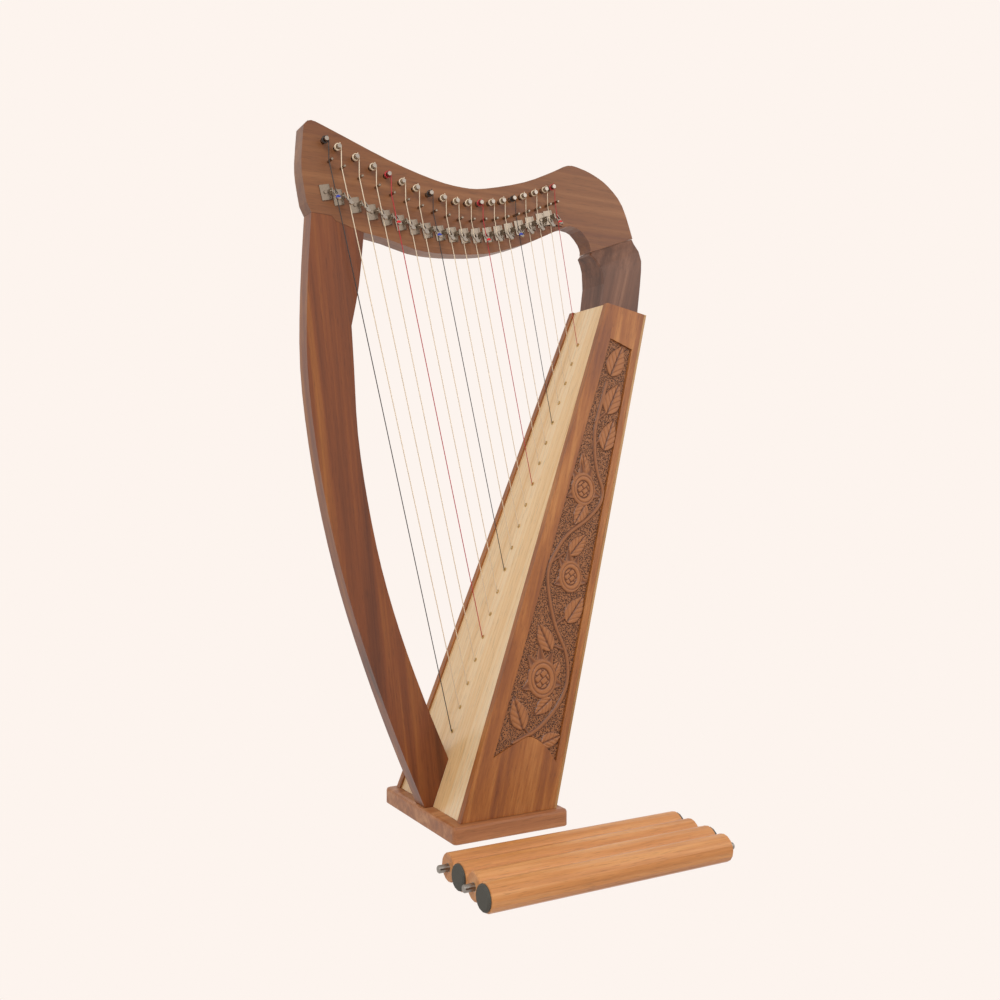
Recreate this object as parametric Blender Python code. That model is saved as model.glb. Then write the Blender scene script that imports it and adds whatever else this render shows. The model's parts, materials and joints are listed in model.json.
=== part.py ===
"""A small nineteen-string lever harp, with its four screw-in legs laid on the floor in front of it.

Metres, +Z up. The origin is the centre of the base board's underside. +X runs from the pillar to
the player's side, and the strings, bridge pins and levers are on the neck's near side, at -Y.
"""
import math

import bmesh
import bpy
from mathutils import Matrix, Vector

# Clearance between touching pieces
GAP = 0.0003

# Base board
BASE_THICKNESS = 0.0195
BASE_SIDE_OVERHANG = 0.0083
BASE_FRONT_OVERHANG = 0.0117
BASE_BACK_OVERHANG = 0.0108
BASE_CORNER_RADIUS = 0.005
BASE_ROUND_OVER = 0.0035

# Soundbox
BOX_BOTTOM_DEPTH = 0.1245
BOX_BOTTOM_WIDTH = 0.1735
BOX_TOP_WIDTH = 0.0860
BOX_TOP_DEPTH = 0.0600
BOX_TOP_FALL = math.radians(10.2)
BOARD_LENGTH = 0.6407
BOARD_ANGLE = math.radians(69.28)
SIDE_THICKNESS = 0.0085
BOARD_RECESS = 0.0024
BOARD_THICKNESS = 0.0035
BACK_THICKNESS = 0.0030
RIB_WIDTH = 0.024
RIB_THICKNESS = 0.006
BLOCK_HEIGHT = 0.028
SOUND_HOLES = ((0.110, 0.030), (0.260, 0.027), (0.405, 0.021))

# Carved field on each side
CARVING_DEPTH = 0.0025
FRONT_STILE = 0.0190
BACK_STILE = 0.0125
TOP_RAIL = 0.044
HILL = ((0.00, 0.066), (0.32, 0.080), (0.52, 0.084), (0.80, 0.070), (1.00, 0.052))

# Neck, pillar and shoulder
WOOD_THICKNESS = 0.025
NECK_REACH = 0.3775
NECK_TOP = (
    (0.993, 0.096), (0.971, 0.102), (0.910, 0.0955), (0.730, 0.073), (0.580, 0.0592), (0.480, 0.0555),
    (0.400, 0.0585), (0.257, 0.074), (0.150, 0.0926), (0.090, 0.104), (0.040, 0.1033), (-0.016, 0.0976),
    (-0.073, 0.0866), (-0.130, 0.0650), (-0.1735, 0.0250),
)
NECK_UNDERSIDE = (
    (0.0, 0.0), (-0.001, 0.0047), (0.008, 0.0134), (0.040, 0.0256), (0.070, 0.0285), (0.100, 0.0270),
    (0.210, 0.0065), (0.295, -0.0070), (0.390, -0.0185), (0.490, -0.0240), (0.570, -0.0258), (0.640, -0.0246),
    (0.730, -0.0170), (0.808, -0.0131),
)
NECK_JOINT = ((0.895, -0.0040), (0.909, 0.0011), (0.970, 0.0019))
NECK_NOSE = ((0.984, 0.0123), (0.997, 0.0393), (1.000, 0.0598), (0.993, 0.0960))
PILLAR_FOOT_FRONT = 0.0080
PILLAR_BOARD_HEIGHT = 0.053
PILLAR_FRONT_BOW = ((0.125, -0.018), (0.25, -0.0325), (0.375, -0.043), (0.50, -0.0475), (0.625, -0.046), (0.75, -0.0385), (0.875, -0.0215))
PILLAR_INNER_BOW = ((0.125, -0.0190), (0.25, -0.0345), (0.375, -0.0445), (0.50, -0.0480), (0.625, -0.0465), (0.75, -0.0380))
PILLAR_KINK = (0.825, -0.0330)
PILLAR_FLARE = (0.90, -0.0165)
SHOULDER_RISE = 0.0681
SHOULDER_SET_BACK = 0.0049
SHOULDER_WIDTH = 0.048
SHOULDER_STATIONS = (
    (0.06, -0.0024, 0.0012, 0.25), (0.16, 0.0030, 0.0068, 0.55), (0.28, 0.0068, 0.0090, 0.80),
    (0.42, 0.0080, 0.0076, 0.96), (0.60, 0.0080, 0.0058, 1.0), (1.00, 0.0075, 0.0015, 1.0),
)

# Strings
STRING_COUNT = 19
FIRST_HOLE = 0.0883
LAST_HOLE_BELOW_TOP = 0.0504
HOLE_SPACING_RATIO = 26.4 / 29.4
BASS_STRING_RADIUS = 0.00060
TREBLE_STRING_RADIUS = 0.00038
STRING_AT_BRIDGE = 0.009
BRIDGE_LINE = ((0.9255, 0.0588), (0.7775, 0.0385), (0.6375, 0.0230), (0.5035, 0.0157), (0.3790, 0.0215), (0.2640, 0.0356), (0.1545, 0.0529))
RED_STRINGS = (5, 12, 19)
BLACK_STRINGS = (1, 8, 15)
KNOT_SWELL = 2.2
STRING_HOLE_RADIUS = 0.0015
WINDING_TURNS = 2
WINDING_POINTS = 8
WINDING_SPACE = 0.0005
STRING_TAIL = 0.006

# Tuning pins and bridge pins
TUNING_PIN_RADIUS = 0.0025
TUNING_PIN_NEAR = 0.0130
TUNING_PIN_FAR = 0.0160
TUNING_PIN_SQUARE = 0.0034
TUNING_PIN_RISE = (0.0220, 0.0180)
BRIDGE_PIN_RADIUS = 0.0016
BRIDGE_PIN_LENGTH = 0.0135
BRIDGE_PIN_DEPTH = 0.009

# Levers
LEVER_SHARE = 0.0561
LEVER_OFFSET = 0.005
LEVER_LEAST = 0.016
LEVER_BELOW_STRING = 0.0021
LEVER_LEAN = math.radians(35)
PRONG_INNER = 0.0015
PRONG_OUTER = 0.0025
LEVER_THICKNESS = 0.0016
WEB_START = 0.0070
WEB_END = 0.0088
PADDLE_END = 0.0146
PADDLE_WIDTH = 0.0054
AXLE_RADIUS = 0.0010
EAR_THICKNESS = 0.0010
EAR_HEIGHT = 0.0060
PLATE_WIDTH = 0.0120
PLATE_HEIGHT = 0.0170
PLATE_THICKNESS = 0.0012
SCREW_FROM_EAR = 0.0055
SCREW_HEAD_RADIUS = 0.0024
SCREW_HEAD_HEIGHT = 0.0014

# Legs
LEG_RADIUS = 0.01425
LEG_LENGTH = 0.283
LEG_MIDDLES = (0.0145, 0.0130, 0.0125, 0.0090)
FIRST_LEG_Y = -0.1875
STUD_RADIUS = 0.0039
STUD_OUT = 0.011
FOOT_RADIUS = 0.01275
FOOT_THICKNESS = 0.0035
SOCKET_INSET = 0.028
SOCKET_DEPTH = 0.014

# Worked out from the sizes above
BASE_LENGTH = BOX_BOTTOM_DEPTH + BASE_FRONT_OVERHANG + BASE_BACK_OVERHANG
BASE_WIDTH = BOX_BOTTOM_WIDTH + 2 * BASE_SIDE_OVERHANG
BOX_BOTTOM_Z = BASE_THICKNESS + GAP
BOX_FRONT_X = BASE_FRONT_OVERHANG - BASE_LENGTH / 2
NECK_FACE = WOOD_THICKNESS / 2
UP_BOARD = Vector((math.cos(BOARD_ANGLE), 0, math.sin(BOARD_ANGLE)))
INTO_BOX = Vector((math.sin(BOARD_ANGLE), 0, -math.cos(BOARD_ANGLE)))
BOX_FRONT_BOTTOM = Vector((BOX_FRONT_X, 0, BOX_BOTTOM_Z))
BOX_FRONT_TOP = BOX_FRONT_BOTTOM + UP_BOARD * BOARD_LENGTH
BOX_BACK_BOTTOM = BOX_FRONT_BOTTOM + Vector((BOX_BOTTOM_DEPTH, 0, 0))
ALONG_TOP = Vector((math.cos(BOX_TOP_FALL), 0, -math.sin(BOX_TOP_FALL)))
BOX_BACK_TOP = BOX_FRONT_TOP + ALONG_TOP * BOX_TOP_DEPTH
SHOULDER = BOX_FRONT_TOP + Vector((-SHOULDER_SET_BACK, 0, SHOULDER_RISE))

for old in list(bpy.data.objects):
    bpy.data.objects.remove(old)


def material(name, colour, roughness, metallic=0.0):
    made = bpy.data.materials.new(name)
    made.use_nodes = True
    shader = made.node_tree.nodes["Principled BSDF"]
    shader.inputs["Base Color"].default_value = (*colour, 1.0)
    shader.inputs["Roughness"].default_value = roughness
    shader.inputs["Metallic"].default_value = metallic
    return made


WOOD = material("hardwood", (0.27, 0.10, 0.045), 0.45)
BASE_WOOD = material("base wood", (0.43, 0.19, 0.09), 0.45)
LEG_WOOD = material("leg wood", (0.66, 0.31, 0.11), 0.40)
SPRUCE = material("soundboard", (0.85, 0.62, 0.36), 0.40)
PLY = material("pale ply", (0.75, 0.55, 0.33), 0.50)
STEEL = material("bright steel", (0.75, 0.73, 0.70), 0.25, 1.0)
RUBBER = material("rubber", (0.06, 0.06, 0.05), 0.75)
NYLON = material("nylon", (0.90, 0.84, 0.72), 0.35)
RED_NYLON = material("red nylon", (0.70, 0.03, 0.04), 0.35)
BLACK_NYLON = material("black nylon", (0.03, 0.03, 0.03), 0.35)


def add(name, mesh, look):
    made = bpy.data.objects.new(name, mesh)
    bpy.context.scene.collection.objects.link(made)
    if look is not None:
        mesh.materials.append(look)
    return made


def loft(bm, rings):
    """Skin through rings of as many points each, closed by a face at both ends."""
    rows = [[bm.verts.new(point) for point in ring] for ring in rings]
    count = len(rows[0])
    faces = [bm.faces.new(rows[0]), bm.faces.new(rows[-1])]
    for low, high in zip(rows, rows[1:]):
        for k in range(count):
            nxt = (k + 1) % count
            faces.append(bm.faces.new((low[k], low[nxt], high[nxt], high[k])))
    bmesh.ops.recalc_face_normals(bm, faces=faces)


def object_from_rings(name, bodies, look, smooth=False):
    """One object of one or more lofted bodies."""
    bm = bmesh.new()
    for rings in bodies:
        loft(bm, rings)
    mesh = bpy.data.meshes.new(name)
    bm.to_mesh(mesh)
    bm.free()
    if smooth:
        mesh.shade_smooth()
        mesh.set_sharp_from_angle(angle=math.radians(40))
    return add(name, mesh, look)


def cutter(name, bodies):
    made = object_from_rings(name, bodies, None)
    made.hide_render = True
    made.display_type = "WIRE"
    return made


def combine(target, tool, operation, solver="EXACT"):
    step = target.modifiers.new(operation.lower(), "BOOLEAN")
    step.operation = operation
    step.solver = solver
    step.object = tool


def smooth_curve(points, steps):
    """A Catmull-Rom curve through the points, with so many steps per span."""
    ends = [points[0], *points, points[-1]]
    curve = []
    for a, b, c, d in zip(ends, ends[1:], ends[2:], ends[3:]):
        for k in range(steps):
            t = k / steps
            curve.append(tuple(
                0.5 * (2 * q + (r - p) * t + (2 * p - 5 * q + 4 * r - s) * t * t + (3 * q - p - 3 * r + s) * t ** 3)
                for p, q, r, s in zip(a, b, c, d)
            ))
    return curve + [tuple(points[-1])]


def turned(start, axis, profile, sides, turn=0.0):
    """Rings of a round body: the profile gives (distance along the axis, radius)."""
    axis = axis.normalized()
    across = axis.orthogonal().normalized()
    other = axis.cross(across)
    rings = []
    for along, radius in profile:
        ring = []
        for k in range(sides):
            angle = turn + 2 * math.pi * k / sides
            ring.append(start + axis * along + (across * math.cos(angle) + other * math.sin(angle)) * radius)
        rings.append(ring)
    return rings


def outer(radius, sides):
    """The corner radius of a hole whose flats lie this far from its axis."""
    return radius / math.cos(math.pi / sides)


def half_width(z):
    """Half the soundbox's outer width at this height."""
    share = (z - BOX_BOTTOM_Z) / (BOX_FRONT_TOP.z - BOX_BOTTOM_Z)
    return (BOX_BOTTOM_WIDTH + (BOX_TOP_WIDTH - BOX_BOTTOM_WIDTH) * share) / 2


def across_box(profile, inset):
    """A slab across the soundbox, from side to side, this far in from the outer faces."""
    near = [Vector((x, -(half_width(z) - inset), z)) for x, z in profile]
    far = [Vector((x, half_width(z) - inset, z)) for x, z in profile]
    return [near, far]


def in_side(profile, side, shallow, deep):
    """A slab in one side of the soundbox, between two depths from its outer face."""
    return [[Vector((x, side * (half_width(z) - depth), z)) for x, z in profile] for depth in (shallow, deep)]


def on_board(along, depth):
    """A point in the middle plane, so far up the soundbox's front line and so far behind it."""
    return BOX_FRONT_BOTTOM + UP_BOARD * along + INTO_BOX * depth


def front_x(z, depth=0.0):
    """Where a plane parallel to the front line, so far behind it, meets this height."""
    return BOX_FRONT_X + (z - BOX_BOTTOM_Z) / math.tan(BOARD_ANGLE) + depth / math.sin(BOARD_ANGLE)


BACK_SLOPE = (BOX_BACK_TOP.x - BOX_BACK_BOTTOM.x) / (BOX_BACK_TOP.z - BOX_BACK_BOTTOM.z)


def back_x(z, depth=0.0):
    """Where a plane parallel to the back line, so far inside it, meets this height."""
    return BOX_BACK_BOTTOM.x + (z - BOX_BOTTOM_Z) * BACK_SLOPE - depth * math.hypot(1, BACK_SLOPE)


def top_z(x):
    """The height of the soundbox's top line."""
    return BOX_FRONT_TOP.z - (x - BOX_FRONT_TOP.x) * math.tan(BOX_TOP_FALL)


def box_profile(front_depth, back_depth):
    """The soundbox's outline from the side, with its front and back drawn in."""
    def top_corner(edge_x, depth):
        z = BOX_FRONT_TOP.z
        for _ in range(20):
            z = top_z(edge_x(z, depth))
        return edge_x(z, depth), z
    return [
        (front_x(BOX_BOTTOM_Z, front_depth), BOX_BOTTOM_Z),
        top_corner(front_x, front_depth),
        top_corner(back_x, back_depth),
        (back_x(BOX_BOTTOM_Z, back_depth), BOX_BOTTOM_Z),
    ]


def neck_point(share, rise):
    """A point of the neck, as a share of its reach and a height, both from the shoulder."""
    return SHOULDER.x - share * NECK_REACH, SHOULDER.z + rise


def prism(points, half):
    return [[Vector((x, y, z)) for x, z in points] for y in (-half, half)]


def holes_up_the_board():
    """Distances of the string holes from the soundbox's bottom front corner, bass first."""
    room = BOARD_LENGTH - LAST_HOLE_BELOW_TOP - FIRST_HOLE
    steps = [1 + (HOLE_SPACING_RATIO - 1) * k / (STRING_COUNT - 2) for k in range(STRING_COUNT - 1)]
    places = [FIRST_HOLE]
    for step in steps:
        places.append(places[-1] + step * room / sum(steps))
    return places


HOLES = holes_up_the_board()
BRIDGES = [neck_point(*point) for point in smooth_curve(BRIDGE_LINE, 3)]


def mix(bass, treble, k):
    return bass + (treble - bass) * k / (STRING_COUNT - 1)


class String:
    """Where one string runs, and what stands beside it on the neck."""

    def __init__(self, k):
        self.number = k + 1
        self.radius = mix(BASS_STRING_RADIUS, TREBLE_STRING_RADIUS, k)
        self.hole = on_board(HOLES[k], BOARD_RECESS)
        x, z = BRIDGES[k]
        self.bridge = Vector((x, -NECK_FACE - STRING_AT_BRIDGE, z))
        tilt = math.atan2(self.hole.x - x, z - self.hole.z)
        self.across = Vector((math.cos(tilt), 0, math.sin(tilt)))
        self.up = Vector((-math.sin(tilt), 0, math.cos(tilt)))
        self.winding = outer(TUNING_PIN_RADIUS + GAP + self.radius, WINDING_POINTS)
        self.pin = Vector((x - self.winding, 0, z + mix(*TUNING_PIN_RISE, k)))
        self.bridge_pin = self.bridge + self.across * (BRIDGE_PIN_RADIUS + GAP + self.radius)
        self.bridge_pin.y = -NECK_FACE
        length = (self.bridge - self.hole).length
        below = max(LEVER_SHARE * length - LEVER_OFFSET, LEVER_LEAST)
        touch = self.bridge.lerp(self.hole, below / length)
        self.pivot_height = -NECK_FACE - touch.y - LEVER_BELOW_STRING
        self.pivot = Vector((touch.x, -NECK_FACE - self.pivot_height, touch.z))
        self.frame = Matrix((self.across, self.up, Vector((0, -1, 0)))).transposed()

    def at(self, across, up, out):
        """A point beside the lever's pivot, measured out from the neck's face."""
        foot = Vector((self.pivot.x, -NECK_FACE, self.pivot.z))
        return foot + self.frame @ Vector((across, up, out))


STRINGS = [String(k) for k in range(STRING_COUNT)]
OUT = Vector((0, -1, 0))
BACK = Vector((0, 1, 0))


def rounded_rectangle(length, width, radius, z, inset=0.0, steps=3):
    """The base's outline at one height, drawn in by the inset."""
    points = []
    for k, (sx, sy) in enumerate(((1, 1), (-1, 1), (-1, -1), (1, -1))):
        for j in range(steps + 1):
            angle = math.pi / 2 * (k + j / steps)
            x = sx * (length / 2 - radius) + (radius - inset) * math.cos(angle)
            y = sy * (width / 2 - radius) + (radius - inset) * math.sin(angle)
            points.append(Vector((x, y, z)))
    return points


def socket_places():
    for sx in (-1, 1):
        for sy in (-1, 1):
            yield Vector((sx * (BASE_LENGTH / 2 - SOCKET_INSET), sy * (BASE_WIDTH / 2 - SOCKET_INSET), 0))


def make_base():
    size = (BASE_LENGTH, BASE_WIDTH, BASE_CORNER_RADIUS)
    rise = BASE_THICKNESS - BASE_ROUND_OVER
    rings = [
        rounded_rectangle(*size, 0.0, 0.001),
        rounded_rectangle(*size, 0.001),
        rounded_rectangle(*size, rise),
        rounded_rectangle(*size, rise + BASE_ROUND_OVER * 0.71, BASE_ROUND_OVER * 0.29),
        rounded_rectangle(*size, BASE_THICKNESS, BASE_ROUND_OVER),
    ]
    base = object_from_rings("base", [rings], BASE_WOOD, smooth=True)
    up = Vector((0, 0, 1))
    radius = outer(STUD_RADIUS + GAP, 12)
    sockets = [turned(place, up, ((-0.001, radius), (SOCKET_DEPTH, radius)), 12) for place in socket_places()]
    combine(base, cutter("socket cutter", sockets), "DIFFERENCE")


def make_soundbox():
    sides = box_profile(0.0, BACK_THICKNESS + GAP)
    low = BOX_BOTTOM_Z
    high = BOX_FRONT_TOP.z - TOP_RAIL
    field = []
    for share, rise in smooth_curve(HILL, 3):
        z = low + rise
        left, right = front_x(z) + FRONT_STILE, back_x(z) - BACK_STILE
        field.append((left + (right - left) * share, z))
    right_top = high - (back_x(high) - front_x(high)) * math.tan(BOX_TOP_FALL)
    field.append((back_x(right_top) - BACK_STILE, right_top))
    field.append((front_x(high) + FRONT_STILE, high))
    for side, name in ((-1, "side_panel_left"), (1, "side_panel_right")):
        panel = object_from_rings(name, [in_side(sides, side, 0.0, SIDE_THICKNESS)], WOOD)
        combine(panel, cutter(name + " carving cutter", [in_side(field, side, -0.003, CARVING_DEPTH)]), "DIFFERENCE")

    inset = SIDE_THICKNESS + GAP
    behind = BOARD_RECESS + BOARD_THICKNESS
    outline = box_profile(BOARD_RECESS, 0.0)
    inner = box_profile(behind, 0.0)
    board = object_from_rings("soundboard", [across_box([outline[0], outline[1], inner[1], inner[0]], inset)], SPRUCE)
    drill = outer(STRING_HOLE_RADIUS, 6)
    holes = [turned(s.hole - INTO_BOX * 0.002, INTO_BOX, ((0, drill), (0.002 + BOARD_THICKNESS + 0.002, drill)), 6)
             for s in STRINGS]
    combine(board, cutter("string hole cutter", holes), "DIFFERENCE")

    back = box_profile(0.0, 0.0)
    under = box_profile(0.0, BACK_THICKNESS)
    panel = object_from_rings("back_panel", [across_box([back[3], back[2], under[2], under[3]], 0.0)], PLY)
    outward = Vector((math.cos(math.atan(BACK_SLOPE)), 0, -math.sin(math.atan(BACK_SLOPE))))
    openings = []
    for rise, radius in SOUND_HOLES:
        z = BOX_BOTTOM_Z + rise
        middle = Vector((back_x(z), 0, z))
        openings.append(turned(middle - outward * 0.01, outward, ((0, radius), (0.02, radius)), 16))
    combine(panel, cutter("sound hole cutter", openings), "DIFFERENCE")

    depth = behind + GAP
    back_depth = BACK_THICKNESS + GAP
    body = box_profile(depth, back_depth)
    bottom_z = low + BLOCK_HEIGHT
    bottom = [body[0], (front_x(bottom_z, depth), bottom_z), (back_x(bottom_z, back_depth), bottom_z), body[3]]
    object_from_rings("bottom_block", [across_box(bottom, inset)], WOOD)
    top_low = BOX_BACK_TOP.z - BLOCK_HEIGHT
    top = [(front_x(top_low, depth), top_low), body[1], body[2], (back_x(top_low, back_depth), top_low)]
    object_from_rings("top_block", [across_box(top, inset)], WOOD)

    start, end = bottom_z + 0.004, top_low - 0.004
    rib = [(front_x(start, depth), start), (front_x(end, depth), end),
           (front_x(end, depth + RIB_THICKNESS), end), (front_x(start, depth + RIB_THICKNESS), start)]
    return object_from_rings("strings", [prism(rib, RIB_WIDTH / 2)], WOOD)


def make_neck():
    outline = smooth_curve([neck_point(*p) for p in NECK_TOP], 3)
    outline += smooth_curve([neck_point(*p) for p in NECK_UNDERSIDE], 2)
    outline += [neck_point(*p) for p in NECK_JOINT]
    outline += smooth_curve([neck_point(*p) for p in NECK_NOSE], 2)[:-1]
    neck = object_from_rings("neck", [prism(outline, NECK_FACE)], WOOD)
    face = -NECK_FACE
    holes = []
    for s in STRINGS:
        radius = outer(TUNING_PIN_RADIUS + GAP, 8)
        holes.append(turned(Vector((s.pin.x, face - 0.002, s.pin.z)), BACK, ((0, radius), (WOOD_THICKNESS + 0.004, radius)), 8))
    combine(neck, cutter("neck hole cutter", holes), "DIFFERENCE", "MANIFOLD")
    return neck


def chord(foot, head, bow):
    """A point beside the straight line from foot to head: a share of its height, and an offset in X."""
    share, offset = bow
    return foot[0] + (head[0] - foot[0]) * share + offset, foot[1] + (head[1] - foot[1]) * share


def make_pillar():
    foot_z = BOX_BOTTOM_Z
    foot = (BOX_FRONT_X - PILLAR_FOOT_FRONT, foot_z)
    nose = neck_point(*NECK_JOINT[2])
    head = (nose[0], nose[1] - GAP)
    front = smooth_curve([foot] + [chord(foot, head, bow) for bow in PILLAR_FRONT_BOW] + [head], 3)
    joint = [neck_point(*NECK_JOINT[1]), neck_point(*NECK_JOINT[0]), neck_point(*NECK_UNDERSIDE[-1])]
    joint = [(x, z - GAP / math.cos(math.radians(15))) for x, z in joint]
    inner_foot_z = foot_z + PILLAR_BOARD_HEIGHT
    on_face = BOARD_RECESS - GAP
    inner_foot = (front_x(inner_foot_z, on_face), inner_foot_z)
    inner_head = joint[-1]
    kink = chord(inner_foot, inner_head, PILLAR_KINK)
    flare = smooth_curve([inner_head, chord(inner_foot, inner_head, PILLAR_FLARE), kink], 3)
    rest = [kink] + [chord(inner_foot, inner_head, bow) for bow in reversed(PILLAR_INNER_BOW)] + [inner_foot]
    inner = smooth_curve(rest, 3)
    outline = front + joint[:-1] + flare[:-1] + inner + [(front_x(foot_z, on_face), foot_z)]
    object_from_rings("pillar", [prism(outline, NECK_FACE)], WOOD)


def make_shoulder():
    """Lofted from the neck's foot down to the soundbox's top, growing from the neck's width to its own."""
    front_top = Vector(neck_point(*NECK_UNDERSIDE[0]))
    back_top = Vector(neck_point(*NECK_TOP[-1]))
    joint = (back_top - front_top).normalized()
    down = Vector((joint.y, -joint.x)) * GAP
    front_foot = Vector((BOX_FRONT_TOP.x, 0))
    front_foot.y = top_z(front_foot.x) + GAP / math.cos(BOX_TOP_FALL)
    back_foot = Vector((BOX_BACK_TOP.x, 0))
    back_foot.y = top_z(back_foot.x) + GAP / math.cos(BOX_TOP_FALL)

    def section(front, back, half):
        cut = 0.002
        along = (back - front).normalized() * cut
        corners = [(front, half - cut), (front + along, half), (back - along, half), (back, half - cut)]
        ring = [Vector((p.x, y, p.y)) for p, y in corners]
        return ring + [Vector((p.x, -y, p.y)) for p, y in reversed(corners)]

    rings = [section(front_top + down, back_top + down, NECK_FACE)]
    for share, front_out, back_out, growth in SHOULDER_STATIONS:
        front = (front_top + down).lerp(front_foot, share)
        front.x += front_out
        back = (back_top + down).lerp(back_foot, share)
        back.x += back_out
        if share == 1.0:
            front = Vector((front_foot.x + 0.0026, 0))
            front.y = top_z(front.x) + GAP / math.cos(BOX_TOP_FALL)
            back = Vector((back_foot.x + back_out, 0))
            back.y = top_z(back.x) + GAP / math.cos(BOX_TOP_FALL)
        rings.append(section(front, back, NECK_FACE + (SHOULDER_WIDTH / 2 - NECK_FACE) * growth))
    object_from_rings("shoulder_block", [rings], WOOD, smooth=True)


def string_path(s):
    """Centre line and thickness: knot behind the rib, hole, bridge pin, turns round the pin, free tail."""
    rib_back = BOARD_THICKNESS + GAP + RIB_THICKNESS
    knot = s.radius * KNOT_SWELL
    path = [
        (s.hole + INTO_BOX * (rib_back + 2 * knot), KNOT_SWELL),
        (s.hole + INTO_BOX * (rib_back - 0.0005), KNOT_SWELL),
        (s.hole + INTO_BOX * (rib_back - 0.003), 1.0),
        (s.hole - INTO_BOX * (s.radius + 2 * GAP), 1.0),
        (s.bridge, 1.0),
    ]
    pitch = 2 * s.radius + WINDING_SPACE
    total = WINDING_TURNS * WINDING_POINTS
    for k in range(total + 1):
        angle = 2 * math.pi * k / WINDING_POINTS
        place = s.pin + Vector((math.cos(angle), 0, math.sin(angle))) * s.winding
        place.y = s.bridge.y + pitch * k / WINDING_POINTS
        path.append((place, 1.0))
    path.append((path[-1][0] + Vector((0, 0, STRING_TAIL)), 1.0))
    return path


def least_gap(s):
    """Least gap between turns of one string: points more than half a turn apart."""
    points = [place for place, _ in string_path(s)][4:]
    fine = [a.lerp(b, t / 6) for a, b in zip(points, points[1:]) for t in range(6)]
    apart = WINDING_POINTS * 6 // 2
    least = min((a - b).length for i, a in enumerate(fine) for b in fine[i + apart:])
    return least - 2 * s.radius


def make_strings(rib):
    """The strings are knotted behind the rib, so they and the rib are one solid."""
    groups = (("strings_red", RED_STRINGS, RED_NYLON), ("strings_black", BLACK_STRINGS, BLACK_NYLON))
    coloured = RED_STRINGS + BLACK_STRINGS
    natural = tuple(s.number for s in STRINGS if s.number not in coloured)
    groups += (("strings_natural", natural, NYLON),)
    for name, numbers, look in groups:
        curve = bpy.data.curves.new(name, "CURVE")
        curve.dimensions = "3D"
        curve.bevel_depth = BASS_STRING_RADIUS
        curve.bevel_resolution = 1
        curve.use_fill_caps = True
        for number in numbers:
            s = STRINGS[number - 1]
            path = string_path(s)
            line = curve.splines.new("POLY")
            line.points.add(len(path) - 1)
            for point, (place, swell) in zip(line.points, path):
                point.co = (*place, 1.0)
                point.radius = swell * s.radius / BASS_STRING_RADIUS
        tube = add(name + " curve", curve, look)
        bpy.context.view_layer.update()
        solid = tube.evaluated_get(bpy.context.evaluated_depsgraph_get())
        lines = add(name + " adder", bpy.data.meshes.new_from_object(solid), None)
        bpy.data.objects.remove(tube)
        lines.hide_render = True
        lines.display_type = "WIRE"
        combine(rib, lines, "UNION")
    print("least gap between turns, mm:", round(1000 * min(least_gap(s) for s in STRINGS), 2))


def make_pins(neck):
    for s in STRINGS:
        start = Vector((0, -NECK_FACE - TUNING_PIN_NEAR, 0))
        through = TUNING_PIN_NEAR + WOOD_THICKNESS
        rings = turned(start, BACK, ((0, TUNING_PIN_RADIUS), (through + 0.003, TUNING_PIN_RADIUS)), 8, math.pi / 8)
        for along, half in ((through + 0.0035, TUNING_PIN_SQUARE / 2), (through + TUNING_PIN_FAR, TUNING_PIN_SQUARE * 0.42)):
            square = []
            for point in rings[0]:
                side = Vector((point.x, 0, point.z))
                square.append(start + BACK * along + side * (half / max(abs(side.x), abs(side.z))))
            rings.append(square)
        pin = object_from_rings(f"tuning_pin_{s.number:02d}", [rings], STEEL, smooth=True)
        pin.location = s.pin
    shape = ((-BRIDGE_PIN_DEPTH, BRIDGE_PIN_RADIUS), (BRIDGE_PIN_LENGTH - 0.0005, BRIDGE_PIN_RADIUS),
             (BRIDGE_PIN_LENGTH, BRIDGE_PIN_RADIUS * 0.7))
    combine(neck, cutter("bridge pin adder", [turned(s.bridge_pin, OUT, shape, 6) for s in STRINGS]), "UNION", "MANIFOLD")


EAR_INNER = -(PRONG_OUTER + GAP + 0.0001)
EAR_OUTER = EAR_INNER - EAR_THICKNESS


def screw_place(s, out):
    return s.at(EAR_OUTER - SCREW_FROM_EAR, 0, out)


def block(s, across, up, out):
    """A box beside one lever's pivot, between two values each way."""
    return [[s.at(across[i], up[j], height) for i, j in ((0, 0), (1, 0), (1, 1), (0, 1))] for height in out]


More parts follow.
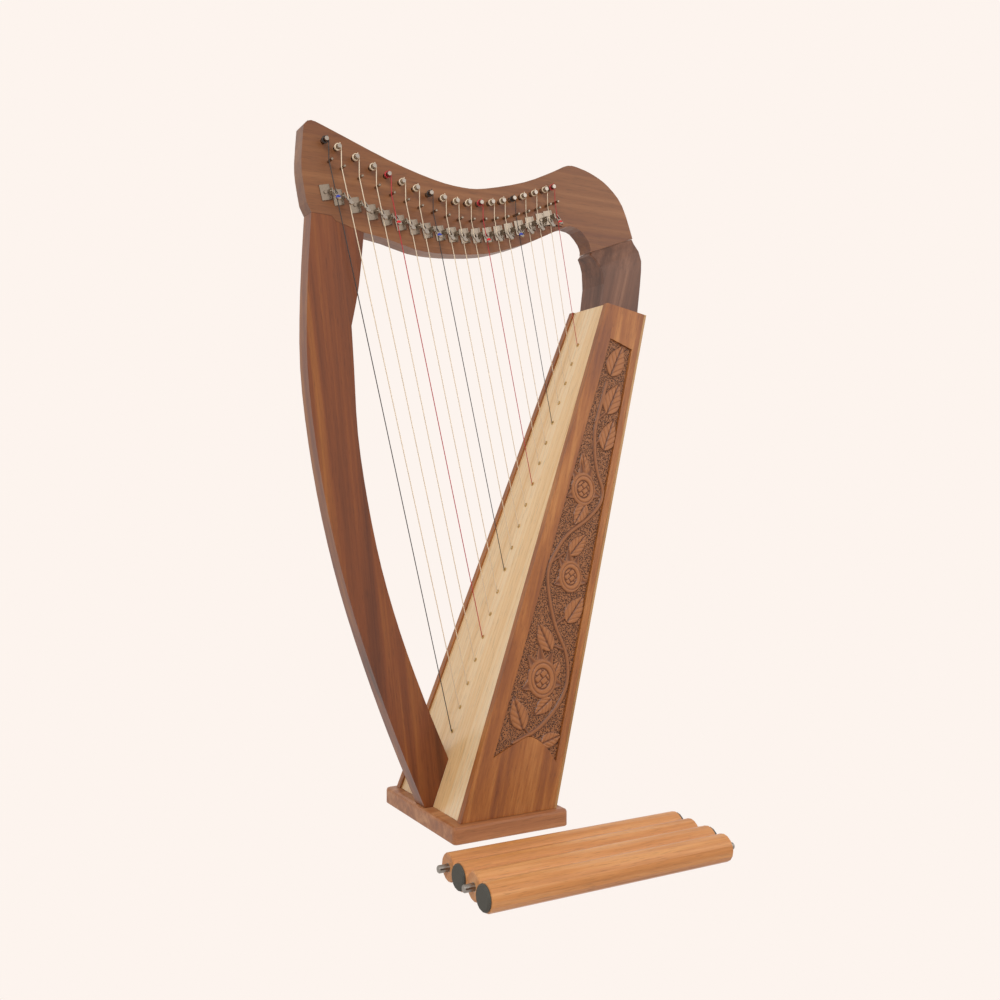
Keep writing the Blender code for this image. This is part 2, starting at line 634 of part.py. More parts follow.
def make_levers(neck):
    plates, ears, cuts, screws = [], [], [], []
    sink = -0.0002
    for s in STRINGS:
        side = s.across
        plates.append(block(s, (EAR_INNER - PLATE_WIDTH, EAR_INNER), (-PLATE_HEIGHT / 2, PLATE_HEIGHT / 2), (sink, PLATE_THICKNESS)))
        ears.append(block(s, (EAR_OUTER, EAR_INNER - 0.00001), (-EAR_HEIGHT / 2, EAR_HEIGHT / 2),
                          (PLATE_THICKNESS / 2, s.pivot_height + AXLE_RADIUS + GAP + 0.0012)))
        bore = outer(AXLE_RADIUS + GAP, 6)
        cuts.append(turned(s.at(EAR_OUTER - 0.002, 0, s.pivot_height), side, ((0, bore), (0.004, bore)), 6))
        top = PLATE_THICKNESS + SCREW_HEAD_HEIGHT
        shape = ((PLATE_THICKNESS / 2, SCREW_HEAD_RADIUS), (top, SCREW_HEAD_RADIUS * 0.75))
        screws.append(turned(screw_place(s, 0), OUT, shape, 6))
    combine(neck, cutter("bracket plate adder", plates), "UNION", "MANIFOLD")
    combine(neck, cutter("bracket ear adder", ears), "UNION", "MANIFOLD")
    combine(neck, cutter("screw head adder", screws), "UNION", "MANIFOLD")
    combine(neck, cutter("axle hole cutter", cuts), "DIFFERENCE", "MANIFOLD")

    lean = Matrix.Rotation(-LEVER_LEAN, 4, "X")
    half = LEVER_THICKNESS / 2
    right = [(PRONG_INNER, WEB_START), (PRONG_INNER, -0.0012), (PRONG_OUTER, -0.0012), (PRONG_OUTER, WEB_END - 0.0008),
             (0.0015, WEB_END + 0.0008), (PADDLE_WIDTH / 2, PADDLE_END - 0.0028), (0.0015, PADDLE_END)]
    plan = right + [(-x, t) for x, t in reversed(right)]
    fork_rings = [[lean @ Vector((x, -t, level)) for x, t in plan] for level in (-half, half)]
    reach = PRONG_OUTER + 0.0003 + EAR_THICKNESS + 0.0008
    axle_rings = turned(Vector((-(PRONG_OUTER + PRONG_INNER) / 2, 0, 0)), Vector((-1, 0, 0)),
                        ((0, AXLE_RADIUS * 0.75), (0.00001, AXLE_RADIUS * 0.75),
                         (reach - PRONG_INNER, AXLE_RADIUS * 0.75)), 6)
    for s in STRINGS:
        name = f"lever_{s.number:02d}"
        lever = object_from_rings(name, [fork_rings], STEEL)
        axle = cutter(name + " axle adder", [axle_rings])
        for piece in (lever, axle):
            piece.matrix_world = Matrix.Translation(s.pivot) @ s.frame.to_4x4()
        combine(lever, axle, "UNION")


def make_legs():
    """Each leg is a dowel with its glued-in stud, and a rubber foot on the other end."""
    for k, middle in enumerate(LEG_MIDDLES):
        y = FIRST_LEG_Y - k * (2 * LEG_RADIUS + GAP)
        outward = Vector((-1 if k % 2 == 0 else 1, 0, 0))
        centre = Vector((middle, y, LEG_RADIUS))
        half = LEG_LENGTH / 2
        soft = LEG_RADIUS - 0.001
        shape = ((-half, soft), (0.001 - half, LEG_RADIUS), (half - 0.001, LEG_RADIUS), (half, soft),
                 (half, STUD_RADIUS), (half + STUD_OUT - 0.001, STUD_RADIUS), (half + STUD_OUT, STUD_RADIUS - 0.0008))
        object_from_rings(f"leg_dowel_{k + 1}", [turned(centre, outward, shape, 16)], LEG_WOOD, smooth=True)
        shape = ((GAP, FOOT_RADIUS), (FOOT_THICKNESS * 0.6, FOOT_RADIUS), (FOOT_THICKNESS, FOOT_RADIUS - 0.0015))
        rings = turned(centre - outward * half, -outward, shape, 16)
        object_from_rings(f"leg_foot_{k + 1}", [rings], RUBBER, smooth=True)


make_base()
rib = make_soundbox()
neck = make_neck()
make_pillar()
make_shoulder()
make_strings(rib)
make_pins(neck)
make_levers(neck)
make_legs()
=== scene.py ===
import json
import math

import bmesh
import bpy
import numpy as np
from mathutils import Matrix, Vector


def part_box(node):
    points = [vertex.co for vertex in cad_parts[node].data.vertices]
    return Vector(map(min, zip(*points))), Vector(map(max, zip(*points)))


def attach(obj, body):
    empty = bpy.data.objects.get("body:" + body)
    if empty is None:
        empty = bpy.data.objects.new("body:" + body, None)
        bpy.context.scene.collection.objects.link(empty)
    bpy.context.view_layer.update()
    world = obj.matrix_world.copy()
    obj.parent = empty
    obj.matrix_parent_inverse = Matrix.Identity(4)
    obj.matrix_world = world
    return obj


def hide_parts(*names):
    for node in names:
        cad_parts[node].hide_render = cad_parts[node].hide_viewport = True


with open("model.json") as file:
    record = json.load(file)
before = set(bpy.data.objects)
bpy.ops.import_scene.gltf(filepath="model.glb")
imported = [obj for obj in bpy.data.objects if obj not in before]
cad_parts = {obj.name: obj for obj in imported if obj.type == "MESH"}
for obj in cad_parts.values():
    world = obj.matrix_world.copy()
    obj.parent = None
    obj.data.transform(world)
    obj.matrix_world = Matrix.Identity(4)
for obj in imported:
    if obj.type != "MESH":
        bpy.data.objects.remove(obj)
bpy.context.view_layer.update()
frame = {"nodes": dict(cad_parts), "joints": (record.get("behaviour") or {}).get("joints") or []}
nodes = frame["nodes"]


# Base board: a slab 19.5 mm thick of lacquered hardwood, with its top edge rounded over by a router.
# It is screwed up into the soundbox's bottom block, and its grain runs from the pillar to the player.
def colour(text):
    values = [int(text[k:k + 2], 16) / 255 for k in (1, 3, 5)]
    linear = [v / 12.92 if v <= 0.04045 else ((v + 0.055) / 1.055) ** 2.4 for v in values]
    return (*linear, 1.0)


def node(tree, kind, inputs=(), **settings):
    """Adds one node, with its settings and with its inputs set or linked."""
    made = tree.nodes.new("ShaderNode" + kind)
    for name, value in settings.items():
        setattr(made, name, value)
    for name, value in dict(inputs).items():
        if isinstance(value, bpy.types.NodeSocket):
            tree.links.new(value, made.inputs[name])
        else:
            made.inputs[name].default_value = value
    return made


def tints(tree, factor, stops):
    """The colours that a pattern runs through, each at its place from 0 to 1."""
    made = node(tree, "ValToRGB", {"Fac": factor})
    elements = made.color_ramp.elements
    while len(elements) < len(stops):
        elements.new(0.5)
    for element, (place, tint) in zip(elements, stops):
        element.position = place
        element.color = colour(tint)
    return made.outputs["Color"]


def finish_of(name, roughness, metallic=0.0, ior=None, coat=0.0):
    made = bpy.data.materials.new(name)
    made.use_nodes = True
    shader = made.node_tree.nodes["Principled BSDF"]
    shader.inputs["Roughness"].default_value = roughness
    shader.inputs["Metallic"].default_value = metallic
    if ior:
        shader.inputs["IOR"].default_value = ior
    if coat:
        shader.inputs["Coat Weight"].default_value = coat
        shader.inputs["Coat Roughness"].default_value = 0.15
    return made, made.node_tree, shader


# Lacquered wood: a satin lacquer over streaks a few millimetres wide, with darker pores in them.
# Real pores are too fine to show, so they are drawn about 1 mm apart and 15 mm long.
PORES_PER_METRE = (2200, 2200, 130)
WOOD_IOR = 1.5


def wood(name, dark, middle, light, streak_mm=3.0, length_mm=90.0, lean=0.0, gloss=0.42, coat=0.05):
    """Its grain runs up +Z, leant about Y by this many degrees."""
    made, tree, shader = finish_of(name, gloss, ior=WOOD_IOR, coat=coat)
    place = node(tree, "TexCoord").outputs["Object"]
    turn = (0, -math.radians(lean), 0)
    turned = node(tree, "Mapping", {"Vector": place, "Rotation": turn}).outputs["Vector"]
    thin, long = 1000 / streak_mm, 1000 / length_mm
    stretched = node(tree, "Mapping", {"Vector": turned, "Scale": (thin, thin, long)}).outputs["Vector"]
    streaks = node(tree, "TexNoise", {"Vector": stretched, "Scale": 0.35, "Detail": 5.0, "Roughness": 0.62,
                                      "Distortion": 0.25}).outputs["Fac"]
    wide = (thin / 7, thin / 7, long / 3)
    broad = node(tree, "Mapping", {"Vector": turned, "Scale": wide}).outputs["Vector"]
    figure = node(tree, "TexNoise", {"Vector": broad, "Scale": 0.5, "Detail": 2.0}).outputs["Fac"]
    both = node(tree, "Mix", {"Factor": 0.4, "A": streaks, "B": figure}, data_type="FLOAT").outputs["Result"]
    tint = tints(tree, both, ((0.34, dark), (0.50, middle), (0.66, light)))
    fine = node(tree, "Mapping", {"Vector": turned, "Scale": PORES_PER_METRE}).outputs["Vector"]
    pores = node(tree, "TexNoise", {"Vector": fine, "Scale": 0.5, "Detail": 1.0}).outputs["Fac"]
    shade = node(tree, "MapRange", {"Value": pores, "From Min": 0.30, "From Max": 0.42, "To Min": 0.78,
                                    "To Max": 1.0}).outputs["Result"]
    darkened = node(tree, "Mix", {"Factor": 1.0, "A": tint, "B": shade}, data_type="RGBA",
                    blend_type="MULTIPLY")
    tree.links.new(darkened.outputs[2], shader.inputs["Base Color"])
    bump = node(tree, "Bump", {"Height": pores, "Strength": 0.12, "Distance": 0.0002})
    tree.links.new(bump.outputs["Normal"], shader.inputs["Normal"])
    return made


def give_finish(name, material):
    slots = nodes[name].data.materials
    slots.clear()
    slots.append(material)


FLAT = 90
give_finish("base", wood("lacquered base board", "#8f5532", "#b07448", "#cd976a", lean=FLAT))

# Soundbox sides: two solid panels 8.5 mm thick, which taper with the box and are glued to its blocks.
# Each has a sunk field on its outer face, and the stiles around the field stand proud of it.
side_wood = wood("lacquered side panel", "#7c4423", "#a2622f", "#c5864a", lean=16)
for panel in ("side_panel_left", "side_panel_right"):
    give_finish(panel, side_wood)

# Inner blocks: solid ends of the soundbox, which the sides, soundboard and back are glued to.
# The bottom one takes the base's screws, and the top one carries the shoulder block.
block_wood = wood("lacquered inner block", "#7d4628", "#9a5f3a", "#b27a4e", lean=FLAT)
for block in ("bottom_block", "top_block"):
    give_finish(block, block_wood)

# Carving: a vine with roses and leaves, cut into each side's sunk field with gouges by hand.
# The ground between them is struck all over with a small punch, which leaves pits, darkened with painted
# shade.
SIDE_LOW, SIDE_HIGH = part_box("side_panel_left")
FOOT_Z, TOP_Z = SIDE_LOW[2], SIDE_HIGH[2]
BOTTOM_HALF_WIDTH, TOP_HALF_WIDTH = -SIDE_LOW[1], 0.0430
BOARD_ANGLE = math.radians(69.28)
FRONT_X, FRONT_SLOPE = SIDE_LOW[0], 1 / math.tan(BOARD_ANGLE)
BACK_X, BACK_SLOPE = FRONT_X + 0.1245, 0.2731
FRONT_STILE, BACK_STILE = 0.0190, 0.0125
TOP_RAIL, TOP_RUN, TOP_FALL = 0.044, 0.0325, math.tan(math.radians(10.2))
HILL = ((0.00, 0.066), (0.32, 0.080), (0.52, 0.084), (0.80, 0.070), (1.00, 0.052))
FIELD_DEPTH, FIELD_INSET = 0.0025, 0.0002
SHEET_COLUMNS, SHEET_ROWS = 110, 620
SHEET_THICKNESS, SHEET_LIFT, BELOW_FACE = 0.0001, 0.00005, 0.0001
PIT_DEPTH, TOOL_MARKS, GROUND = 0.00035, 0.00004, 0.0002

# Points of the vine, in X and Z on the side; a twig is two points; a leaf is its middle, length,
# half width and angle in degrees; a rose is its middle and radius
STEM = (
    (0.010, 0.099), (0.043, 0.112), (0.071, 0.136), (0.085, 0.162), (0.085, 0.194), (0.0715, 0.229),
    (0.065, 0.263), (0.065, 0.292), (0.076, 0.313), (0.094, 0.334), (0.123, 0.352), (0.142, 0.370),
    (0.147, 0.387), (0.141, 0.407), (0.138, 0.430), (0.140, 0.462), (0.150, 0.492), (0.160, 0.520),
)
STEM_HEIGHT, STEM_RADIUS = 0.0018, 0.0028
TWIGS = (
    ((0.137, 0.440), (0.148, 0.452)), ((0.140, 0.470), (0.156, 0.482)), ((0.072, 0.230), (0.088, 0.238)),
    ((0.066, 0.300), (0.088, 0.312)), ((0.080, 0.200), (0.066, 0.206)), ((0.030, 0.107), (0.020, 0.122)),
)
TWIG_HEIGHT, TWIG_RADIUS = 0.0015, 0.0018
LEAVES = (
    (0.1760, 0.548, 0.036, 0.0140, 62), (0.1680, 0.500, 0.035, 0.0135, 62),
    (0.1590, 0.455, 0.034, 0.0130, 66), (0.1080, 0.322, 0.028, 0.0105, 45),
    (0.1000, 0.246, 0.032, 0.0125, 50), (0.0560, 0.216, 0.030, 0.0120, 115),
    (0.0170, 0.132, 0.032, 0.0130, 105), (0.0600, 0.098, 0.024, 0.0095, 15),
    (0.1120, 0.358, 0.026, 0.0100, 235), (0.1210, 0.418, 0.026, 0.0080, 95),
    (0.0500, 0.136, 0.024, 0.0095, 215), (0.0700, 0.178, 0.018, 0.0075, 60),
)
ROSES = ((0.1185, 0.388, 0.0200), (0.0950, 0.284, 0.0190), (0.0505, 0.168, 0.0225))
PETALS = ((62, 0.95), (92, 1.15), (122, 0.95), (200, 0.75), (340, 0.75))


def smooth_route(points, steps=8):
    """A curve through all the points."""
    ends = [points[0], *points, points[-1]]
    curve = []
    for a, b, c, d in zip(ends, ends[1:], ends[2:], ends[3:]):
        for k in range(steps):
            t = k / steps
            curve.append(tuple(
                0.5 * (2 * q + (r - p) * t + (2 * p - 5 * q + 4 * r - s) * t * t
                       + (3 * q - p - 3 * r + s) * t ** 3)
                for p, q, r, s in zip(a, b, c, d)
            ))
    return curve + [tuple(points[-1])]


def rounded_cord(x, z, route, height, radius):
    """Height of a half-round stem that follows the route."""
    least = np.full(x.shape, 1.0)
    for (ax, az), (bx, bz) in zip(route, route[1:]):
        dx, dz = bx - ax, bz - az
        t = np.clip(((x - ax) * dx + (z - az) * dz) / (dx * dx + dz * dz + 1e-12), 0, 1)
        least = np.minimum(least, np.hypot(x - ax - t * dx, z - az - t * dz))
    return height * np.sqrt(np.clip(1 - (least / radius) ** 2, 0, 1))


def leaned(x, z, middle, angle):
    """Distances along and across a line through the middle, at this angle in degrees."""
    c, s = math.cos(math.radians(angle)), math.sin(math.radians(angle))
    dx, dz = x - middle[0], z - middle[1]
    return dx * c + dz * s, -dx * s + dz * c


def leaf(x, z, middle, length, half_width, angle):
    """A pointed leaf, hollowed along its midrib and cut with side veins."""
    along, across = leaned(x, z, middle, angle)
    along, across = along / (length * 0.62), np.abs(across / half_width)
    edge = np.clip(1 + along, 0, 1.3) ** 0.55 * np.clip(1 - along, 0, 1.6) ** 0.95 * 0.86
    edge = np.where(np.abs(along) < 1, edge, 0)
    inside = across < edge
    share = np.where(inside, across / np.maximum(edge, 1e-4), 1.0)
    height = 0.0010 + 0.0012 * np.sqrt(np.clip(1 - (share - 0.45) ** 2 * 2.2, 0, 1))
    height -= 0.0011 * np.exp(-(across / 0.085) ** 2)
    veins = np.cos((along - across * 0.75) * 15)
    height -= 0.0006 * np.clip(veins - 0.55, 0, 1) * (share < 0.9) * 2
    return inside, height


def petal(x, z, middle, radius, angle, reach):
    """A pointed petal behind the bud, with raised edges."""
    along, across = leaned(x, z, middle, angle)
    along, across = along / radius - 0.55, np.abs(across / (radius * 0.42))
    edge = np.clip(1 - along / reach, 0, 1) ** 0.8 * (along > -0.4)
    return across < edge, 0.0008 + 0.0012 * across / np.maximum(edge, 1e-4)


def bud(x, z, middle, radius):
    """A round bud with two rims and a heart cut like basket work."""
    dx, dz = x - middle[0], z - middle[1]
    out = np.hypot(dx / (radius * 0.86), dz / radius)
    height = 0.0012 + 0.0010 * np.sqrt(np.clip(1 - ((out - 0.72) / 0.3) ** 2, 0, 1))
    height -= 0.0010 * np.exp(-((out - 0.80 - 0.08 * dx / radius) / 0.03) ** 2)
    height -= 0.0014 * np.exp(-((out - 0.52) / 0.03) ** 2)
    strip = radius * 0.30
    u = (dx * 0.83 + dz * 0.56) / strip
    v = (dz * 0.83 - dx * 0.56) / strip
    cuts = np.minimum(np.abs((u / 1.4 + np.floor(v) * 0.5) % 1), 1 - np.abs(v % 1 - 0.5) * 2)
    height = np.where(out < 0.48, 0.0021 - 0.0011 * (cuts < 0.16), height)
    return out < 1.0, np.clip(height, 0.0003, 0.0024)


def carved_height(x, z):
    """Height of the carving above the sunk ground, at points of the side's plane."""
    height = rounded_cord(x, z, smooth_route(STEM), STEM_HEIGHT, STEM_RADIUS)
    for twig in TWIGS:
        height = np.maximum(height, rounded_cord(x, z, twig, TWIG_HEIGHT, TWIG_RADIUS))
    shapes = [leaf(x, z, (cx, cz), length, half, angle) for cx, cz, length, half, angle in LEAVES]
    for cx, cz, radius in ROSES:
        shapes += [petal(x, z, (cx, cz), radius, angle, reach) for angle, reach in PETALS]
        shapes.append(bud(x, z, (cx, cz), radius))
    for inside, raised in shapes:
        height = np.where(inside, raised, height)
    return height


def fit(made, material, body):
    """Puts a piece in the scene with its material and on its body."""
    bpy.context.scene.collection.objects.link(made)
    made.data.materials.append(material)
    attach(made, body)


def carving(side, name):
    """A fine sheet over the sunk field, raised where the carver left the wood standing."""
    hill = smooth_route(HILL, 6)
    share = np.linspace(0, 1, SHEET_COLUMNS)
    low = np.interp(share, [p[0] for p in hill], [p[1] for p in hill]) + FOOT_Z
    top = TOP_Z - TOP_RAIL - share * TOP_RUN * TOP_FALL
    z = low + (top - low) * np.linspace(0, 1, SHEET_ROWS)[:, None]
    left = FRONT_X + (z - FOOT_Z) * FRONT_SLOPE + FRONT_STILE + FIELD_INSET
    right = BACK_X + (z - FOOT_Z) * BACK_SLOPE - BACK_STILE - FIELD_INSET
    x = left + (right - left) * share
    relief = carved_height(x, z)
    draw = np.random.default_rng(7)
    pits = draw.random(x.shape) * PIT_DEPTH
    relief = np.where(relief < GROUND, pits, relief + TOOL_MARKS * draw.random(x.shape))
    half = BOTTOM_HALF_WIDTH + (TOP_HALF_WIDTH - BOTTOM_HALF_WIDTH) * (z - FOOT_Z) / (TOP_Z - FOOT_Z)
    y = side * (half - FIELD_DEPTH + SHEET_LIFT + np.minimum(relief, FIELD_DEPTH - BELOW_FACE))
    k = np.arange(z.size).reshape(z.shape)
    faces = np.stack([k[:-1, :-1], k[:-1, 1:], k[1:, 1:], k[1:, :-1]], -1).reshape(-1, 4)
    if side > 0:
        faces = faces[:, ::-1]
    mesh = bpy.data.meshes.new(name)
    mesh.from_pydata(np.stack([x, y, z], -1).reshape(-1, 3).tolist(), [], faces.tolist())
    mesh.shade_smooth()
    heights = mesh.attributes.new("relief", "FLOAT", "POINT")
    heights.data.foreach_set("value", relief.reshape(-1).astype(np.float32))
    made = bpy.data.objects.new(name, mesh)
    backing = made.modifiers.new("backing", "SOLIDIFY")
    backing.thickness = SHEET_THICKNESS
    backing.offset = -1
    return made


# Carved hardwood: thinly lacquered. Raised parts get a painted highlight and low parts painted shade, lighter
# with height, and the punched ground gets painted shade in its pits, so the eye sees the leaves before the
# ground. The punch's pits lie about 1.6 mm apart.
PIT_SPACING_MM = 1.5625
carved_wood, tree, shader = finish_of("carved hardwood", 0.48, ior=WOOD_IOR, coat=0.1)
raised = node(tree, "Attribute", attribute_name="relief").outputs["Fac"]
share_up = node(tree, "MapRange", {"Value": raised, "From Min": 0.0003, "From Max": 0.0022}).outputs["Result"]
place = node(tree, "TexCoord").outputs["Object"]
cells = node(tree, "TexVoronoi", {"Vector": place, "Scale": 1000 / PIT_SPACING_MM}).outputs["Distance"]
pit_wall = node(tree, "MapRange", {"Value": cells, "From Min": 0.15, "From Max": 0.55}).outputs["Result"]
ground = node(tree, "Math", {0: raised, 1: 0.0004}, operation="LESS_THAN").outputs["Value"]
# Painted highlight and shade: the relief's colour is lighter the higher it stands above the ground.
relief_highlight_and_shade = tints(tree, share_up, ((0.0, "#47240f"), (0.45, "#75421f"), (1.0, "#a86b3c")))
# Painted shade: each punch pit is darkest at its middle and lighter towards its rim.
pit_painted_shade = tints(tree, pit_wall, ((0.0, "#2c150a"), (0.5, "#5e341c"), (1.0, "#9a6238")))
tint = node(tree, "Mix", {"Factor": ground, "A": relief_highlight_and_shade, "B": pit_painted_shade}, data_type="RGBA")
tree.links.new(tint.outputs[2], shader.inputs["Base Color"])
dips = node(tree, "Math", {0: pit_wall, 1: ground}, operation="MULTIPLY").outputs["Value"]
bump = node(tree, "Bump", {"Height": dips, "Strength": 1.0, "Distance": 0.0009})
tree.links.new(bump.outputs["Normal"], shader.inputs["Normal"])
for side, name in ((-1, "carving_near"), (1, "carving_far")):
    fit(carving(side, name), carved_wood, "frame")

# Soundboard: spruce 3.5 mm thick under a clear, glossy lacquer, with its fine grain up the board.
# It is let in between the sides, a little below their front edges, and is glued to the blocks.
give_finish("soundboard", wood("lacquered spruce", "#ecbf80", "#f6d29c", "#fbe4be", streak_mm=1.6,
                               length_mm=300, lean=20.7, gloss=0.30, coat=0.4))

# Back panel: birch ply 3 mm thick, with three round holes that a hand reaches in by to fit a string.
# It is glued over the back of the box, and its pale edge shows behind the side.
give_finish("back_panel", wood("lacquered birch ply", "#9c7040", "#b58753", "#c79d6c", streak_mm=4,
                               length_mm=160, lean=15))

# Shoulder block: a thick block with curved faces, glued to the box's top block, that carries the
# neck. It is the darkest piece of wood, with its grain up the box.
give_finish("shoulder_block", wood("lacquered shoulder block", "#52301f", "#744c37", "#93694f", lean=15))

# Pillar: a board 25 mm thick, sawn to a bow. It stands on the base in front of the soundboard and
# holds up the neck's front end. Its streaks are bolder and redder than the neck's.
give_finish("pillar", wood("lacquered pillar", "#4a200b", "#7c411d", "#a5672f", streak_mm=5,
                           length_mm=220, lean=-6))

# Neck: a board 25 mm thick, sawn to a wave, that is glued to the shoulder and pillar. Its node also
# holds the bridge pins and the levers' plates and screws, which are nickel-plated.
NECK_HALF_THICKNESS = 0.0125
CLEAR_OF_WOOD = 0.00006
neck_wood = wood("lacquered neck", "#6c3d24", "#84532f", "#9d6a42", streak_mm=4, length_mm=150, lean=FLAT)


def join_finishes(material, metal_colour, roughness, choose):
    """Gives the material plated metal where the chooser's node says 1."""
    tree = material.node_tree
    timber = tree.nodes["Principled BSDF"]
    metal = node(tree, "BsdfPrincipled", {"Base Color": colour(metal_colour), "Metallic": 1.0,
                                          "Roughness": roughness})
    share = choose(tree, node(tree, "TexCoord").outputs["Object"])
    both = node(tree, "MixShader", {0: share, 1: timber.outputs["BSDF"], 2: metal.outputs["BSDF"]})
    tree.links.new(both.outputs["Shader"], tree.nodes["Material Output"].inputs["Surface"])


def proud_of_neck(tree, place):
    across = node(tree, "SeparateXYZ", {"Vector": place}).outputs["Y"]
    face = -NECK_HALF_THICKNESS - CLEAR_OF_WOOD
    return node(tree, "Math", {0: across, 1: face}, operation="LESS_THAN").outputs["Value"]


join_finishes(neck_wood, "#988c7e", 0.24, proud_of_neck)
give_finish("neck", neck_wood)

# Tuning pins and levers: turned and stamped steel, nickel-plated and a little worn, which gives
# soft reflections with fine specks. A pin turns in a bored hole; a lever swings on its plate.
STRING_NUMBERS = range(1, 20)
nickel, tree, shader = finish_of("nickel-plated steel", 0.27, metallic=1.0)
specks = node(tree, "TexNoise", {"Scale": 900.0, "Detail": 2.0}).outputs["Fac"]
tree.links.new(tints(tree, specks, ((0.3, "#8f867b"), (0.7, "#c2bab0"))), shader.inputs["Base Color"])
for number in STRING_NUMBERS:
    give_finish(f"tuning_pin_{number:02d}", nickel)
    give_finish(f"lever_{number:02d}", nickel)

# Strings: nineteen nylon strings, thickest in the bass. Each is knotted behind the rib, comes out
# through the soundboard, bears on its bridge pin and is wound twice round its tuning pin.
RED_STRINGS, BLACK_STRINGS = (5, 12, 19), (1, 8, 15)
BASS_RADIUS, TREBLE_RADIUS = 0.00060, 0.00038
BOARD_LENGTH, BOARD_RECESS, BOARD_THICKNESS = 0.6407, 0.0024, 0.0035
FIRST_HOLE, LAST_HOLE_BELOW_TOP, HOLE_SPACING_RATIO = 0.0883, 0.0504, 26.4 / 29.4
GAP, RIB_THICKNESS = 0.0003, 0.006
KNOT_SWELL, KNOT_INSIDE, KNOT_NECK = 2.2, 0.0005, 0.003
BRIDGE_BEYOND_NECK = 0.009
PIN_RADIUS, BASS_PIN_RISE, TREBLE_PIN_RISE = 0.0025, 0.0220, 0.0180
COIL_POINTS, COIL_TURNS, COIL_SPACE, COIL_SIDES = 24, 2, 0.0005, 8
STRING_TAIL = Vector((-0.0004, 0, 0.006))
BOX_FOOT = Vector((FRONT_X, 0, FOOT_Z))
UP_BOARD = Vector((math.cos(BOARD_ANGLE), 0, math.sin(BOARD_ANGLE)))
INTO_BOX = Vector((UP_BOARD.z, 0, -UP_BOARD.x))
joints = {joint["name"]: joint for joint in frame["joints"]}


# Nylon: drawn line, glossy and a little uneven along its length.
def tinted(name, hex_text, roughness, ior, waves, detail, low, high):
    """A plastic in one colour that varies a little in lightness, in waves per metre."""
    made, tree, shader = finish_of(name, roughness, ior=ior)
    wave = node(tree, "TexNoise", {"Scale": waves, "Detail": detail})
    light = node(tree, "MapRange", {"Value": wave.outputs["Fac"], "To Min": low, "To Max": high})
    tint = node(tree, "Mix", {"Factor": 1.0, "A": colour(hex_text), "B": light.outputs["Result"]},
                data_type="RGBA", blend_type="MULTIPLY")
    tree.links.new(tint.outputs[2], shader.inputs["Base Color"])
    return made


NYLON_IOR = 1.53
nylons = {name: tinted(f"{name} nylon", hex_text, 0.32, NYLON_IOR, 120.0, 1.0, 0.92, 1.06)
          for name, hex_text in (("natural", "#efdcc0"), ("red", "#c01f2c"), ("black", "#2b2320"))}

last = len(STRING_NUMBERS) - 1
spaces = [1 + (HOLE_SPACING_RATIO - 1) * k / (last - 1) for k in range(last)]
room = BOARD_LENGTH - LAST_HOLE_BELOW_TOP - FIRST_HOLE
holes = [BOX_FOOT + UP_BOARD * (FIRST_HOLE + sum(spaces[:k]) * room / sum(spaces)) + INTO_BOX * BOARD_RECESS
         for k in range(last + 1)]
for number, hole in zip(STRING_NUMBERS, holes):
    share = (number - 1) / last
    radius = BASS_RADIUS + (TREBLE_RADIUS - BASS_RADIUS) * share
    pin = Vector(joints[f"tune_{number:02d}"]["pos_m"])
    coil = PIN_RADIUS + GAP + radius
    rise = BASS_PIN_RISE + (TREBLE_PIN_RISE - BASS_PIN_RISE) * share
    bridge = Vector((pin.x + coil / math.cos(math.pi / COIL_SIDES),
                     -NECK_HALF_THICKNESS - BRIDGE_BEYOND_NECK, pin.z - rise))
    behind = BOARD_THICKNESS + GAP + RIB_THICKNESS
    path = [(hole + INTO_BOX * (behind + 2 * radius * KNOT_SWELL), KNOT_SWELL),
            (hole + INTO_BOX * (behind - KNOT_INSIDE), KNOT_SWELL),
            (hole + INTO_BOX * (behind - KNOT_NECK), 1.0),
            (hole - INTO_BOX * (radius + 0.0006), 1.0), (bridge, 1.0)]
    for k in range(COIL_TURNS * COIL_POINTS + 1):
        angle = 2 * math.pi * k / COIL_POINTS
        spot = Vector((pin.x, 0, pin.z)) + Vector((math.cos(angle), 0, math.sin(angle))) * coil
        spot.y = bridge.y + (2 * radius + COIL_SPACE) * k / COIL_POINTS
        path.append((spot, 1.0))
    path.append((path[-1][0] + STRING_TAIL, 1.0))
    curve = bpy.data.curves.new(f"string_{number:02d}", "CURVE")
    curve.dimensions = "3D"
    curve.bevel_depth = radius
    curve.bevel_resolution = 2
    curve.use_fill_caps = True
    line = curve.splines.new("POLY")
    line.points.add(len(path) - 1)
    for point, (place, swell) in zip(line.points, path):
        point.co = (*place, 1.0)
        point.radius = swell
    string = bpy.data.objects.new(f"string_{number:02d}", curve)
    tint = "red" if number in RED_STRINGS else "black" if number in BLACK_STRINGS else "natural"
    fit(string, nylons[tint], "frame")
    if number == 1:
        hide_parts("strings")

# String rib: a hardwood strip 24 mm wide, glued inside the soundboard along the string line.
# The strings come through it, and their knots bear on it.
RIB_WIDTH, RIB_BELOW_FIRST, RIB_ABOVE_LAST, RIB_EDGE = 0.024, 0.045, 0.012, 0.0008
board_line = (holes[-1] - holes[0]).normalized()
rib_front = BOARD_THICKNESS + GAP
rib_back = rib_front + RIB_THICKNESS
rib_corners = ((rib_front, -1), (rib_front, 1), (rib_back, 1), (rib_back, -1))
bm = bmesh.new()
corners = [bm.verts.new(place + INTO_BOX * depth + Vector((0, side * RIB_WIDTH / 2, 0)))
           for place in (holes[0] - board_line * RIB_BELOW_FIRST, holes[-1] + board_line * RIB_ABOVE_LAST)
           for depth, side in rib_corners]
bm.faces.new(corners[:4])
bm.faces.new(corners[4:])
for k in range(4):
    bm.faces.new((corners[k], corners[(k + 1) % 4], corners[4 + (k + 1) % 4], corners[4 + k]))
